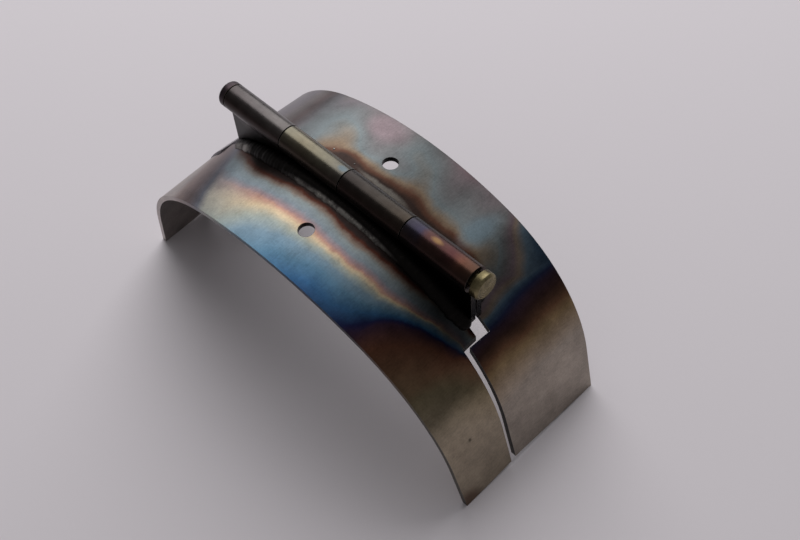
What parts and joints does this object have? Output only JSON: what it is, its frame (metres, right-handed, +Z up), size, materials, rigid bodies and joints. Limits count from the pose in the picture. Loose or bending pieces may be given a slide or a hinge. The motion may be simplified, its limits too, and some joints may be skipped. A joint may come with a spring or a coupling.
{
  "type": "mudguard hinge",
  "caption": "Two arched bands of heat-tinted sheet steel joined over the crown by a pin hinge, so that the tail of a mudguard can swing up.",
  "frame": {"origin": "on the ground under the middle of the pin, centred between the feet", "axes": "+X along the hinge pin, +Y from the front band to the rear band, +Z up"},
  "size_m": [0.172, 0.0738, 0.0808],
  "materials": {
    "band_steel": "bare sheet steel with heat tint from welding",
    "leaf_steel": "bare sheet steel, tinted brown and purple by heat",
    "pin_steel": "turned steel with a straw tint",
    "weld_metal": "dull grey weld with dark scale"
  },
  "bodies": {
    "front_half": {"front_band": "band_steel", "front_leaf": "leaf_steel", "front_weld": "weld_metal", "hinge_pin": "pin_steel"},
    "rear_half": {"rear_band": "band_steel", "rear_leaf": "leaf_steel", "rear_weld": "weld_metal"}
  },
  "joints": [
    {"name": "tail_swing", "type": "hinge", "parent": "front_half", "child": "rear_half", "pos_m": [0, 0, 0.07584], "axis": [1, 0, 0], "range_deg": [0, 180]}
  ]
}
